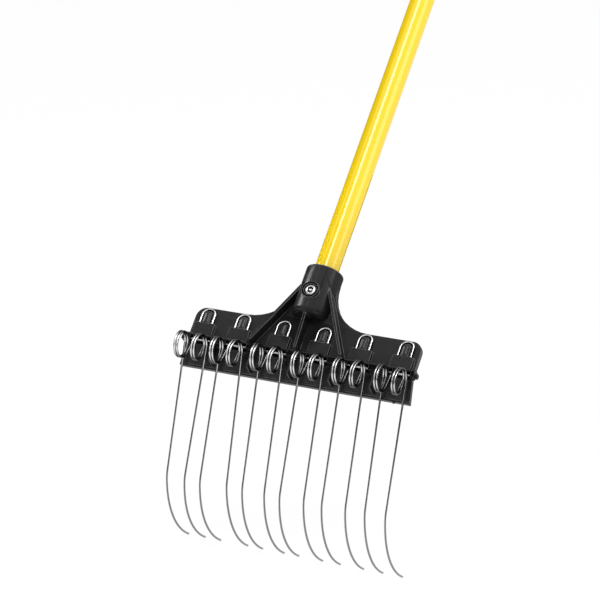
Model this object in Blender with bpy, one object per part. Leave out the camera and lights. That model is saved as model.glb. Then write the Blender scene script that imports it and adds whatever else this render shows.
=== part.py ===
"""Shrub rake: twelve sprung wire tines in a moulded head on a long fibreglass handle.

Lengths are metres and angles are degrees. The rake is drawn upright in its head's own axes: X runs
across the head, Z runs up the handle from the level of the spring coils, and the front of the head
plate is the plane Y = 0, facing -Y. The handle's axis lies in that plane. One empty at the grip
then leans the whole tool back to the angle at which it is used, and puts the grip at the origin.

Each pair of tines is one wire on the real rake. It is drawn as a spring, which is the anchor loop
and both coils, and two tines, which turn about the coils' axis.
"""

import math

import bmesh
import bpy
from mathutils import Matrix, Vector

# How the rake is held
LEAN = 45.7
GRIP_HEIGHT = 0.900

# Gap between pieces that touch or fit in each other
CLEARANCE = 0.0003

# Spring wire
WIRE_DIAMETER = 0.0024
WIRE_SIDES = 6
LEG_SPREAD = 0.00735
TINE_SPREAD = 0.0130
COIL_DIAMETER = 0.0272
COIL_STANDOFF = 0.0181
COIL_EXTRA_TURNS = 1
COIL_STEP = 20
ELBOW_HEIGHT = 0.0125

# Tines
TINE_ANGLE = 27.4
TINE_STRAIGHT = 0.1375
KINK_RADIUS = 0.030
HOOK_START_ANGLE = 45.7
HOOK_END_ANGLE = 105.7
HOOK_RADIUS = 0.095

# How far each tine leans sideways, left to right: the wires are bent one by one and differ a little
TINE_LEAN = (0.0, -2.1, -1.0, 1.6, 0.3, 0.3, -1.2, -0.3, -0.5, 0.0, 0.4, -0.8)

# Where the pairs sit across the head
STATION_COUNT = 6
STATION_PITCH = 0.0473
FIRST_STATION_INSET = 0.0053
END_MARGIN = 0.0156

# Head plate
PLATE_THICKNESS = 0.0030
RIM_DEPTH = 0.0065
RIM_WALL = 0.0025
PLATE_TOP = 0.0545
PLATE_FOOT = 0.0140
PLATE_CORNER = 0.0115
NECK_FILLET = 0.0500

# Skirt below the plate
SKIRT_HEIGHT = 0.0270
SKIRT_ANGLE = 18.0
SKIRT_FLARE = 0.0025
LIP_PROUD = 0.0012
LIP_HEIGHT = 0.0024

# Ledge that holds the springs' rod
LEDGE_TOP = 0.0210
LEDGE_BOTTOM = 0.0115
LEDGE_DEPTH = 0.0075
LEDGE_ROUND = 0.0030
LEDGE_OVERHANG = 0.0035
WINDOW_MARGIN = 0.0006
WINDOW_TOP = 0.0172
ROD_VIEW_LEFT = 0.0020
ROD_VIEW_RIGHT = 0.0150

# Blocks over the anchor loops' legs, and the bosses inside the loops
BLOCK_TOP = 0.0350
BLOCK_HEIGHT = 0.0042
BLOCK_MARGIN = 0.0048
LOOP_TOP = 0.0525
BOSS_MARGIN = 0.0018
BOSS_HEIGHT = 0.0034

# Gussets, the spine below the socket and the webs below the ledge
GUSSET_THICKNESS = 0.0030
GUSSET_DEPTH = 0.0125
GUSSET_FOOT_X = 0.0530
GUSSET_HEAD_X = 0.0150
GUSSET_HEAD_Z = 0.0940
SPINE_THICKNESS = 0.0032
SPINE_HEAD_DEPTH = 0.0160
SPINE_FOOT_DEPTH = 0.0118
RIB_HEEL = 0.0040
WEB_THICKNESS = 0.0020
WEB_CORNER = -0.0080
WEB_HEEL = -0.0096

# Socket
SOCKET_TOP = 0.1165
SOCKET_FLOOR = 0.0640
SOCKET_WALL = 0.0071
SOCKET_DOME = 0.0060
RIM_ROUND = 0.0016

# Handle
HANDLE_DIAMETER = 0.0262
HANDLE_LENGTH = 1.3720
HANDLE_WALL = 0.0030
PLUG_LENGTH = 0.0900
CAP_WALL = 0.0020
CAP_LENGTH = 0.0420
CAP_END = 0.0040

# Screw
SCREW_HEIGHT = 0.0846
SCREW_BOSS_RADIUS = 0.0096
SCREW_BOSS_FRONT = 0.0225
SCREW_SEAT_DEPTH = 0.0040
SCREW_HEAD_DIAMETER = 0.0120
SCREW_HEAD_HEIGHT = 0.0028
SCREW_SHANK = 0.0048
SCREW_LENGTH = 0.0180
SCREW_RECESS = 0.0050
SCREW_RECESS_DEPTH = 0.0014

# Retaining rod
ROD_DIAMETER = 0.0024
ROD_BOSS_DIAMETER = 0.0060
ROD_BOSS_LENGTH = 0.0040

# Facets round a full turn
ROUND = 32
FINE_ROUND = 20

# Values that follow from the ones above
WIRE_RADIUS = WIRE_DIAMETER / 2
COIL_RADIUS = COIL_DIAMETER / 2
WIRE_SEAT_Y = -(WIRE_RADIUS + CLEARANCE)
ROD_Y = WIRE_SEAT_Y - WIRE_RADIUS - ROD_DIAMETER / 2 - CLEARANCE
ROD_Z = ELBOW_HEIGHT + ROD_DIAMETER / 2 + CLEARANCE
HANDLE_RADIUS = HANDLE_DIAMETER / 2
HANDLE_FOOT = SOCKET_FLOOR + CLEARANCE
HANDLE_TOP = HANDLE_FOOT + HANDLE_LENGTH
SOCKET_BORE = HANDLE_RADIUS + CLEARANCE
SOCKET_RADIUS = SOCKET_BORE + SOCKET_WALL
OVERLAP = 0.0005
THROUGH = 0.002
NECK_HALF_WIDTH = SOCKET_RADIUS - OVERLAP
LEG_ROOM = WIRE_RADIUS + WINDOW_MARGIN
WINDOWS = ((-LEG_SPREAD - LEG_ROOM, LEG_ROOM - LEG_SPREAD), (-ROD_VIEW_LEFT, ROD_VIEW_RIGHT))
SKIRT_FOOT_Y = SKIRT_HEIGHT * math.sin(math.radians(SKIRT_ANGLE))
SKIRT_FOOT_Z = PLATE_FOOT - SKIRT_HEIGHT * math.cos(math.radians(SKIRT_ANGLE))
HEEL_DEPTH = LEDGE_DEPTH - OVERLAP


def station_x(index):
    """Middle of a pair of tines. The first pair sits a little nearer its neighbour than the rest."""
    inset = FIRST_STATION_INSET if index == 0 else 0.0
    return (index - (STATION_COUNT - 1) / 2) * STATION_PITCH + inset


HEAD_LEFT = station_x(0) - END_MARGIN
HEAD_RIGHT = station_x(STATION_COUNT - 1) + END_MARGIN
LEDGE_LEFT = HEAD_LEFT - LEDGE_OVERHANG
LEDGE_RIGHT = HEAD_RIGHT + LEDGE_OVERHANG
ROD_END = LEDGE_RIGHT + ROD_BOSS_LENGTH


def clear_scene():
    for item in list(bpy.data.objects):
        bpy.data.objects.remove(item, do_unlink=True)


def make_material(name, colour, roughness, metallic):
    material = bpy.data.materials.new(name)
    material.use_nodes = True
    shader = material.node_tree.nodes["Principled BSDF"]
    shader.inputs["Base Color"].default_value = (*colour, 1.0)
    shader.inputs["Roughness"].default_value = roughness
    shader.inputs["Metallic"].default_value = metallic
    material.diffuse_color = (*colour, 1.0)
    return material


def add_object(name, data, material=None, parent=None, location=(0, 0, 0)):
    item = bpy.data.objects.new(name, data)
    bpy.context.scene.collection.objects.link(item)
    if material:
        data.materials.append(material)
    item.parent = parent
    item.location = location
    return item


def mesh_from(name, vertices, faces, smooth_angle=None):
    """A closed mesh with its faces turned outwards."""
    mesh = bpy.data.meshes.new(name)
    mesh.from_pydata(vertices, [], faces)
    work = bmesh.new()
    work.from_mesh(mesh)
    bmesh.ops.remove_doubles(work, verts=work.verts, dist=1e-6)
    bmesh.ops.recalc_face_normals(work, faces=work.faces)
    work.to_mesh(mesh)
    work.free()
    if smooth_angle is not None:
        mesh.shade_smooth()
        mesh.set_sharp_from_angle(angle=math.radians(smooth_angle))
    return mesh


def prism(name, outline, low, high, axis="Y"):
    """The outline, a list of (a, b), carried from low to high along the axis."""
    place = {
        "X": lambda a, b, c: (c, a, b),
        "Y": lambda a, b, c: (a, c, b),
        "Z": lambda a, b, c: (a, b, c),
    }[axis]
    count = len(outline)
    vertices = [place(a, b, c) for c in (low, high) for a, b in outline]
    sides = [(i, (i + 1) % count, count + (i + 1) % count, count + i) for i in range(count)]
    return mesh_from(name, vertices, [tuple(range(count)), tuple(range(count, 2 * count))] + sides)


def turned(name, profile, sides=ROUND, smooth_angle=40):
    """The profile, a list of (radius, height), turned about Z with a flat facing each way."""
    vertices = []
    rings = []
    for radius, height in profile:
        if radius < 1e-7:
            rings.append([len(vertices)] * sides)
            vertices.append((0.0, 0.0, height))
            continue
        rings.append(list(range(len(vertices), len(vertices) + sides)))
        for step in range(sides):
            angle = 2 * math.pi * (step + 0.5) / sides
            vertices.append((radius * math.cos(angle), radius * math.sin(angle), height))
    faces = []
    for lower, upper in zip(rings, rings[1:]):
        for step in range(sides):
            after = (step + 1) % sides
            corners = [lower[step], lower[after], upper[after], upper[step]]
            face = [c for i, c in enumerate(corners) if c not in corners[:i]]
            if len(face) > 2:
                faces.append(face)
    return mesh_from(name, vertices, faces, smooth_angle)


def arc(centre, radius, start, end, steps):
    """Points of a circular arc, in the plane, from the start angle to the end angle in degrees."""
    points = []
    for step in range(steps + 1):
        angle = math.radians(start + (end - start) * step / steps)
        points.append((centre[0] + radius * math.cos(angle), centre[1] + radius * math.sin(angle)))
    return points


def turn_mesh(mesh, rotation, move=(0, 0, 0)):
    mesh.transform(Matrix.Translation(Vector(move)) @ rotation)
    return mesh


def wire_curve(name, points, radius):
    """A round wire along the points, with flat ends."""
    curve = bpy.data.curves.new(name, "CURVE")
    curve.dimensions = "3D"
    curve.bevel_depth = radius
    curve.bevel_resolution = WIRE_SIDES // 2 - 2
    curve.use_fill_caps = True
    spline = curve.splines.new("POLY")
    spline.points.add(len(points) - 1)
    for target, point in zip(spline.points, points):
        target.co = (*point, 1.0)
    spline.use_smooth = True
    return curve


class Coil:
    """The circle that the coils follow, seen along X, and the straight wires that leave it."""

    centre_y = -COIL_STANDOFF
    centre_z = 0.0

    @classmethod
    def point(cls, angle):
        angle = math.radians(angle)
        y = cls.centre_y + COIL_RADIUS * math.cos(angle)
        return y, cls.centre_z + COIL_RADIUS * math.sin(angle)

    @classmethod
    def leg_angle(cls):
        """Where a line from the elbow meets the circle, on its lower side."""
        away_y = WIRE_SEAT_Y - cls.centre_y
        away_z = ELBOW_HEIGHT - cls.centre_z
        toward = math.degrees(math.atan2(away_z, away_y))
        return toward - math.degrees(math.acos(COIL_RADIUS / math.hypot(away_y, away_z)))

    @classmethod
    def winding(cls):
        """How far the wire goes round, in degrees, from the leg to the tine."""
        return (cls.leg_angle() - TINE_ANGLE) % 360 + 360 * COIL_EXTRA_TURNS


def coil_points(side, gap_angle):
    """One coil from its leg to its tine, as a helix about X. The gap leaves room for the tine."""
    total = Coil.winding() - gap_angle
    steps = math.ceil(total / COIL_STEP)
    points = []
    for step in range(steps + 1):
        share = step / steps
        y, z = Coil.point(Coil.leg_angle() - total * share)
        x = side * (LEG_SPREAD + (TINE_SPREAD - LEG_SPREAD) * share)
        points.append((x, y, z))
    return points


def spring_points():
    """One wire from coil to coil: down the coil, up the leg, round the loop and back."""
    gap_angle = math.degrees(CLEARANCE / COIL_RADIUS)
    loop_centre = LOOP_TOP - LEG_SPREAD
    loop = arc((0.0, loop_centre), LEG_SPREAD, 180, 0, 10)
    left = list(reversed(coil_points(-1, gap_angle)))
    right = coil_points(1, gap_angle)
    elbow_left = [(-LEG_SPREAD, WIRE_SEAT_Y, ELBOW_HEIGHT)]
    elbow_right = [(LEG_SPREAD, WIRE_SEAT_Y, ELBOW_HEIGHT)]
    middle = [(x, WIRE_SEAT_Y, z) for x, z in loop]
    return left + elbow_left + middle + elbow_right + right


def tine_points(lean):
    """The tine from the coil's circle: straight, kinked, then hooked, and leaning along X."""
    y, z = Coil.point(TINE_ANGLE)
    y -= Coil.centre_y
    z -= Coil.centre_z
    points = [(0.0, y, z)]
    heading = math.radians(TINE_ANGLE)
    y += TINE_STRAIGHT * math.sin(heading)
    z -= TINE_STRAIGHT * math.cos(heading)
    points.append((0.0, y, z))
    bends = (
        (KINK_RADIUS, TINE_ANGLE, HOOK_START_ANGLE, 4),
        (HOOK_RADIUS, HOOK_START_ANGLE, HOOK_END_ANGLE, 12),
    )
    for radius, start, end, steps in bends:
        for step in range(1, steps + 1):
            before = math.radians(start + (end - start) * (step - 1) / steps)
            after = math.radians(start + (end - start) * step / steps)
            y += radius * (math.cos(before) - math.cos(after))
            z -= radius * (math.sin(after) - math.sin(before))
            points.append((0.0, y, z))
    slope = math.tan(math.radians(lean))
    return [((points[0][2] - z) * slope, y, z) for _, y, z in points]


def panel_outline(inset):
    """Outline of plate and skirt in X and Z, moved in by the inset all round."""
    corner = PLATE_CORNER - inset
    fillet = NECK_FILLET + inset
    top = PLATE_TOP - inset
    neck = NECK_HALF_WIDTH - inset
    right = HEAD_RIGHT - inset
    left = HEAD_LEFT + inset
    neck_top = arc((neck + fillet, PLATE_TOP + NECK_FILLET), fillet, 270, 180, 10)
    outline = [(right + SKIRT_FLARE, SKIRT_FOOT_Z + inset), (right, PLATE_FOOT)]
    outline += arc((right - corner, top - corner), corner, 0, 90, 6)
    outline += neck_top[:-1] + [(neck, PLATE_TOP + NECK_FILLET - inset)]
    outline += [(-neck, PLATE_TOP + NECK_FILLET - inset)] + [(-x, z) for x, z in reversed(neck_top[:-1])]
    outline += arc((left + corner, top - corner), corner, 90, 180, 6)
    return outline + [(left, PLATE_FOOT), (left - SKIRT_FLARE, SKIRT_FOOT_Z + inset)]


def bent_panel(name, inset, front, back):
    """The panel between two depths, bent back along its foot line so that the skirt slopes."""
    outline = panel_outline(inset)
    count = len(outline)
    slope = math.tan(math.radians(SKIRT_ANGLE))
    bent = [(x, max(0.0, PLATE_FOOT - z) * slope, z) for x, z in outline]
    vertices = [(x, depth + y, z) for depth in (front, back) for x, y, z in bent]
    faces = [(i, (i + 1) % count, count + (i + 1) % count, count + i) for i in range(count)]
    for first in (0, count):
        faces.append(tuple(range(first + 1, first + count - 1)))
        faces.append((first, first + 1, first + count - 2, first + count - 1))
    return mesh_from(name, vertices, faces)


def ledge_profile():
    """The ledge's section in Y and Z, rounded along its upper front edge."""
    front = -LEDGE_DEPTH
    rounding = arc((front + LEDGE_ROUND, LEDGE_TOP - LEDGE_ROUND), LEDGE_ROUND, 90, 180, 4)
    under = [(front, LEDGE_BOTTOM + OVERLAP), (front + OVERLAP, LEDGE_BOTTOM)]
    back = PLATE_THICKNESS / 2
    return [(back, LEDGE_TOP)] + rounding + under + [(back, LEDGE_BOTTOM)]


def stadium(half_width, bottom, top, steps=8):
    """An upright outline in X and Z with a round top."""
    centre = (0.0, top - half_width)
    return [(half_width, bottom)] + arc(centre, half_width, 0, 180, steps) + [(-half_width, bottom)]


def block_outline():
    """Outline of a block in X and Z, with its upper corners rounded."""
    half = LEG_SPREAD + BLOCK_MARGIN
    corner = BLOCK_MARGIN / 3
    outline = [(half, LEDGE_TOP - LEDGE_ROUND)]
    outline += arc((half - corner, BLOCK_TOP - corner), corner, 0, 90, 3)
    outline += arc((corner - half, BLOCK_TOP - corner), corner, 90, 180, 3)
    return outline + [(-half, LEDGE_TOP - LEDGE_ROUND)]


def socket_profile():
    """Outside of the socket, from its domed foot to its rolled rim."""
    foot = SOCKET_FLOOR - SOCKET_WALL / 2
    dome = arc((SOCKET_RADIUS - SOCKET_DOME, foot + SOCKET_DOME), SOCKET_DOME, -90, 0, 5)
    rim = arc((SOCKET_RADIUS - RIM_ROUND, SOCKET_TOP - RIM_ROUND), RIM_ROUND, 0, 90, 3)
    return [(0.0, foot)] + dome + rim + [(0.0, SOCKET_TOP)]


def rib(name, head, foot, depths, thickness, face):
    """A wall that stands on the plate from head to foot, both in X and Z, and ends in a sloping heel.

    The depths are those of its edge at the head, the foot and the heel. Face is -1 in front of the
    plate and 1 behind it.
    """
    run = Vector(foot) - Vector(head)
    ends = (0.0, run.length, run.length + RIB_HEEL)
    root = PLATE_THICKNESS / 2
    outline = [(end, face * depth) for end, depth in zip(ends, depths)]
    mesh = prism(name, outline + [(ends[2], root), (0.0, root)], -thickness / 2, thickness / 2, "Z")
    along = run.normalized()
    turn = Matrix(((along.x, 0, -along.y), (0, 1, 0), (along.y, 0, along.x))).to_4x4()
    return turn_mesh(mesh, turn, (head[0], 0, head[1]))


def web_profile():
    """A square web under the ledge, in Y and Z, standing on the skirt between two pairs.

    Its front edge hangs straight down from the ledge, and its lower edge runs back to the skirt.
    """
    inside = PLATE_THICKNESS / 2
    heel_y = (PLATE_FOOT - WEB_HEEL) * math.tan(math.radians(SKIRT_ANGLE)) + OVERLAP
    top = LEDGE_BOTTOM + OVERLAP * 2
    front = [(-HEEL_DEPTH, top), (-HEEL_DEPTH, WEB_CORNER)]
    return front + [(heel_y, WEB_HEEL), (heel_y + inside, WEB_HEEL), (inside, top)]


def lip_profile():
    """The bead along the skirt's foot, in Y and Z."""
    front = SKIRT_FOOT_Y - LIP_PROUD
    low = SKIRT_FOOT_Z - LIP_HEIGHT / 3
    high = low + LIP_HEIGHT
    back = SKIRT_FOOT_Y + PLATE_THICKNESS
    chamfer = LIP_PROUD / 2
    bead = [(front, high - chamfer), (front, low + chamfer), (front + chamfer, low)]
    return bead + [(back, low), (back, high)]


def head_ribs():
    """The two gussets and the spine, each once in front of the plate and once behind it."""
    parts = []
    ledge = LEDGE_TOP
    front_heel = HEEL_DEPTH
    back_heel = RIM_DEPTH - OVERLAP
    for side in (-1, 1):
        head = (side * GUSSET_HEAD_X, GUSSET_HEAD_Z)
        foot = (side * GUSSET_FOOT_X, ledge)
        depths = [GUSSET_DEPTH, GUSSET_DEPTH, front_heel]
        parts.append(rib("front_gusset", head, foot, depths, GUSSET_THICKNESS, -1))
        depths = [GUSSET_DEPTH, back_heel, back_heel]
        parts.append(rib("back_gusset", head, foot, depths, GUSSET_THICKNESS, 1))
    head = (0.0, SOCKET_FLOOR + OVERLAP)
    foot = (0.0, ledge)
    depths = [SPINE_HEAD_DEPTH, SPINE_FOOT_DEPTH, front_heel]
    parts.append(rib("front_spine", head, foot, depths, SPINE_THICKNESS, -1))
    depths = [SPINE_FOOT_DEPTH, back_heel, back_heel]
    parts.append(rib("back_spine", head, foot, depths, SPINE_THICKNESS, 1))
    return parts


def station_mouldings():
    """A block over each pair's legs, a boss inside its loop, and a web between two pairs."""
    parts = []
    root = PLATE_THICKNESS / 2
    half = LEG_SPREAD - WIRE_RADIUS - BOSS_MARGIN
    top = LOOP_TOP - WIRE_RADIUS - BOSS_MARGIN
    for index in range(STATION_COUNT):
        place = (station_x(index), 0, 0)
        block = prism("block", block_outline(), -BLOCK_HEIGHT, root)
        parts.append(turn_mesh(block, Matrix.Identity(4), place))
        boss = prism("boss", stadium(half, BLOCK_TOP - OVERLAP, top), -BOSS_HEIGHT, root)
        parts.append(turn_mesh(boss, Matrix.Identity(4), place))
    for index in range(STATION_COUNT - 1):
        x = (station_x(index) + station_x(index + 1)) / 2
        parts.append(prism("web", web_profile(), x - WEB_THICKNESS / 2, x + WEB_THICKNESS / 2, "X"))
    return parts


def head_additions():
    """Everything that the moulding adds to its panel, as closed meshes."""
    flare = SKIRT_FLARE - OVERLAP
    parts = [prism("lip", lip_profile(), HEAD_LEFT - flare, HEAD_RIGHT + flare, "X")]
    parts.append(prism("ledge", ledge_profile(), LEDGE_LEFT, LEDGE_RIGHT, "X"))
    parts.append(turned("socket", socket_profile()))
    parts += head_ribs() + station_mouldings()
    rod_boss = arc((ROD_Y, ROD_Z), ROD_BOSS_DIAMETER / 2, 0, 345, 23)
    parts.append(prism("rod_boss", rod_boss, LEDGE_RIGHT - THROUGH, ROD_END, "X"))
    seat = SOCKET_BORE + SOCKET_WALL / 3
    boss_wall = [(SCREW_BOSS_RADIUS, seat), (SCREW_BOSS_RADIUS, SCREW_BOSS_FRONT)]
    screw_boss = turned("screw_boss", [(0, seat)] + boss_wall + [(0, SCREW_BOSS_FRONT)], FINE_ROUND)
    parts.append(laid_forward(screw_boss, SCREW_HEIGHT))
    return parts


def laid_forward(mesh, height):
    """Turns a mesh drawn up Z to point forward, out of the head's front, at the given height."""
    return turn_mesh(mesh, Matrix.Rotation(math.radians(90), 4, "X"), (0, 0, height))


def head_cuts():
    """The bores, windows and channels of the moulding, as closed meshes.

    A pair has a narrow window for its left leg, and a wide one that shows the rod at its right leg.
    """
    bore = [(0, SOCKET_FLOOR), (SOCKET_BORE, SOCKET_FLOOR), (SOCKET_BORE, SOCKET_TOP + THROUGH)]
    parts = [turned("socket_bore", bore + [(0, SOCKET_TOP + THROUGH)])]
    rod_section = arc((ROD_Y, ROD_Z), ROD_DIAMETER / 2 + CLEARANCE, 15, 345, 11)
    parts.append(prism("rod_bore", rod_section, LEDGE_LEFT - THROUGH, ROD_END + THROUGH, "X"))
    for index in range(STATION_COUNT):
        x = station_x(index)
        front = -LEDGE_DEPTH - THROUGH
        low = LEDGE_BOTTOM - THROUGH
        window = [(front, low), (front, WINDOW_TOP), (CLEARANCE, WINDOW_TOP), (CLEARANCE, low)]
        for left, right in WINDOWS:
            parts.append(prism("window", window, x + left, x + right, "X"))
        for side in (-1, 1):
            centre = (x + side * LEG_SPREAD, WIRE_SEAT_Y)
            channel = arc(centre, WIRE_RADIUS + CLEARANCE, 22.5, 337.5, 7)
            parts.append(prism("channel", channel, WINDOW_TOP - THROUGH, BLOCK_TOP + THROUGH, "Z"))
    shank = SCREW_SHANK / 2 + CLEARANCE
    seat = SCREW_BOSS_FRONT - SCREW_SEAT_DEPTH
    head = SCREW_HEAD_DIAMETER / 2 + CLEARANCE * 2
    mouth = SCREW_BOSS_FRONT + THROUGH
    screw_way = [(0, 0), (shank, 0), (shank, seat), (head, seat), (head, mouth), (0, mouth)]
    parts.append(laid_forward(turned("screw_hole", screw_way, FINE_ROUND), SCREW_HEIGHT))
    return parts


def combined(mesh, others, operation):
    """The mesh after a Boolean with each of the others, which are used up."""
    item = add_object(mesh.name, mesh)
    helpers = [add_object(other.name, other) for other in others]
    for helper in helpers:
        modifier = item.modifiers.new(helper.name, "BOOLEAN")
        modifier.operation = operation
        modifier.object = helper
        modifier.solver = "EXACT"
    bpy.context.view_layer.update()
    graph = bpy.context.evaluated_depsgraph_get()
    result = bpy.data.meshes.new_from_object(item.evaluated_get(graph))
    result.name = mesh.name
    for used in [item] + helpers:
        bpy.data.objects.remove(used, do_unlink=True)
    return result


def build_head(parent, material):
    panel = bent_panel("rake_head", 0.0, 0.0, RIM_DEPTH)
    pocket = bent_panel("pocket", RIM_WALL, PLATE_THICKNESS, RIM_DEPTH + THROUGH)
    shell = combined(panel, [pocket], "DIFFERENCE")
    whole = combined(shell, head_additions(), "UNION")
    add_object("rake_head", combined(whole, head_cuts(), "DIFFERENCE"), material, parent)


def with_screw_way(mesh):
    """The mesh with a clear hole from the front for the screw's shank."""
    radius = SCREW_SHANK / 2 + CLEARANCE
    reach = SCREW_BOSS_FRONT
    hole = turned("screw_way", [(0, 0), (radius, 0), (radius, reach), (0, reach)], FINE_ROUND)
    turn = Matrix.Rotation(math.radians(90), 4, "X")
    turn_mesh(hole, turn, (0, screw_tip_y() + CLEARANCE, SCREW_HEIGHT))
    return combined(mesh, [hole], "DIFFERENCE")


def screw_tip_y():
    return -(SCREW_BOSS_FRONT - SCREW_SEAT_DEPTH) + SCREW_LENGTH


def build_handle(parent, skin, wood, rubber):
    bore = HANDLE_RADIUS - HANDLE_WALL
    tube = [(bore, HANDLE_FOOT), (HANDLE_RADIUS, HANDLE_FOOT)]
    tube += [(HANDLE_RADIUS, HANDLE_TOP), (bore, HANDLE_TOP)]
    mesh = turned("handle_tube", tube + tube[:1])
    add_object("handle_tube", with_screw_way(mesh), skin, parent)
    radius = bore - CLEARANCE
    plug_top = HANDLE_FOOT + PLUG_LENGTH
    plug = turned("core_plug", [(0, HANDLE_FOOT), (radius, HANDLE_FOOT), (radius, plug_top), (0, plug_top)])
    add_object("core_plug", with_screw_way(plug), wood, parent)
    inner = HANDLE_RADIUS + CLEARANCE
    outer = inner + CAP_WALL
    mouth = HANDLE_TOP - CAP_LENGTH
    seat = HANDLE_TOP + CLEARANCE
    end = seat + CAP_END
    edge = CAP_WALL
    cap = [(0, seat), (inner, seat), (inner, mouth), (outer, mouth)]
    cap += arc((outer - edge, end - edge), edge, 0, 90, 4)
    add_object("handle_cap", turned("handle_cap", cap + [(0, end)]), rubber, parent)


def build_screw(parent, material):
    """A pan-head screw, drawn pointing along +Z and then laid in from the front."""
    head = SCREW_HEAD_DIAMETER / 2
    seat = SCREW_HEAD_HEIGHT + CLEARANCE
    tip = seat + SCREW_LENGTH
    pan = arc((head - SCREW_HEAD_HEIGHT / 2, SCREW_HEAD_HEIGHT / 2), SCREW_HEAD_HEIGHT / 2, -90, 0, 4)
    shank = [(head, SCREW_HEAD_HEIGHT), (SCREW_SHANK / 2, SCREW_HEAD_HEIGHT)]
    shank += [(SCREW_SHANK / 2, tip - SCREW_SHANK)]
    recess = [(0, SCREW_RECESS_DEPTH), (SCREW_RECESS / 2, SCREW_RECESS_DEPTH), (SCREW_RECESS / 2, 0)]
    mesh = turned("socket_screw", recess + pan + shank + [(SCREW_SHANK / 6, tip), (0, tip)], FINE_ROUND)
    turn_mesh(mesh, Matrix.Rotation(math.radians(-90), 4, "X"))
    place = (0, -(SCREW_BOSS_FRONT - SCREW_SEAT_DEPTH) - seat, SCREW_HEIGHT)
    add_object("socket_screw", mesh, material, parent, place)


def build_rod(parent, material):
    """The rod runs from end to end of the ledge and its boss, just short of both faces."""
    section = arc((ROD_Y, ROD_Z), ROD_DIAMETER / 2, 0, 330, 11)
    mesh = prism("retaining_rod", section, LEDGE_LEFT + CLEARANCE, ROD_END - CLEARANCE, "X")
    add_object("retaining_rod", mesh, material, parent)


def build_springs(parent, material):
    spring = wire_curve("spring", spring_points(), WIRE_RADIUS)
    for index in range(STATION_COUNT):
        x = station_x(index)
        add_object(f"spring_{index + 1}", spring.copy(), material, parent, (x, 0, 0))
        for side in (-1, 1):
            number = 2 * index + (1 if side < 0 else 2)
            tine = wire_curve("tine", tine_points(TINE_LEAN[number - 1]), WIRE_RADIUS)
            pivot = (x + side * TINE_SPREAD, Coil.centre_y, Coil.centre_z)
            add_object(f"tine_{number:02d}", tine, material, parent, pivot)


def build():
    clear_scene()
    frame = bpy.data.objects.new("grip", None)
    bpy.context.scene.collection.objects.link(frame)
    turn = Matrix.Rotation(math.radians(-LEAN), 4, "X")
    frame.matrix_world = turn @ Matrix.Translation((0, 0, -GRIP_HEIGHT))
    black = make_material("black_moulding", (0.03, 0.03, 0.032), 0.45, 0.0)
    yellow = make_material("yellow_fibreglass", (0.95, 0.68, 0.03), 0.25, 0.0)
    steel = make_material("spring_steel", (0.62, 0.62, 0.63), 0.3, 1.0)
    zinc = make_material("zinc_screw", (0.75, 0.75, 0.76), 0.25, 1.0)
    wood = make_material("plug_wood", (0.55, 0.38, 0.2), 0.7, 0.0)
    rubber = make_material("black_rubber", (0.03, 0.03, 0.03), 0.7, 0.0)
    build_head(frame, black)
    build_handle(frame, yellow, wood, rubber)
    build_screw(frame, zinc)
    build_rod(frame, steel)
    build_springs(frame, steel)


build()
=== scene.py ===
# %% [markdown]
# # A shrub rake, dressed for its picture
#
# The rake has a moulded black head, six spring wires that end in twelve tines, and a long yellow
# fibreglass handle. The measured model from the CAD is loaded first. It never moves and never
# changes, and each piece made here sits exactly on it. Lengths are in metres.

# %% Load the measured model
import math

import bmesh
import bpy
import numpy as np
from mathutils import Matrix, Vector


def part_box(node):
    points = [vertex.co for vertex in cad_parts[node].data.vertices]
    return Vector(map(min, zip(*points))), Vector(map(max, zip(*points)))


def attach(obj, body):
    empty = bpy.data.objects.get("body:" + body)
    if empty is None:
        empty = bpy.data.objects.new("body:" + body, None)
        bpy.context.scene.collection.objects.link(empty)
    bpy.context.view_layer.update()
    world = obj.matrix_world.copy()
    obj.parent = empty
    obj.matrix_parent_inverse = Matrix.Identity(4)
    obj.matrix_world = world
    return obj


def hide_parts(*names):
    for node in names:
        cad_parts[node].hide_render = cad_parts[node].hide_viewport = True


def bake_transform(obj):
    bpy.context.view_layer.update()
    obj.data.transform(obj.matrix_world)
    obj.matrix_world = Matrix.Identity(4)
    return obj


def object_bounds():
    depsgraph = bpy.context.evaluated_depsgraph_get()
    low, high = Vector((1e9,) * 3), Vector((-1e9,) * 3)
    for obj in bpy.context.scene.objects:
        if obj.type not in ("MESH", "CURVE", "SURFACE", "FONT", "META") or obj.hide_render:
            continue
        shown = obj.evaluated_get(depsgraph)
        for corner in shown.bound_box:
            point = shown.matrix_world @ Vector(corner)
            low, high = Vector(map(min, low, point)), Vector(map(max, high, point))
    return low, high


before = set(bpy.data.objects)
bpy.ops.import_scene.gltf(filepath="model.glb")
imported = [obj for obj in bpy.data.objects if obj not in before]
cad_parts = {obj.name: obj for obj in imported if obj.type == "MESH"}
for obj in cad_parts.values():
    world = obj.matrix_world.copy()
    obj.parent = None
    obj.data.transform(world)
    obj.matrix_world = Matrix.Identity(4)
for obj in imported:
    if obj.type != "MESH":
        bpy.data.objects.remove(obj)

cad_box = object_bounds()
print("CAD box:", [[round(value, 4) for value in corner] for corner in cad_box])

# %% [markdown]
# ## The head's own axes
#
# The rake leans back from its tines. It is far easier to draw it upright, so every shape below is
# worked out in the head's own axes: X across the head, Z up the handle from the level of the
# coils, and the plate's front at Y = 0, facing -Y. One function then leans the points back, about
# the grip, where the CAD has its origin. Leaning numbers is safer than leaning objects, because the
# finished objects must stay at the origin.

# %% Lean points back into place
LEAN = math.radians(45.7)
GRIP_HEIGHT = 0.900


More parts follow.
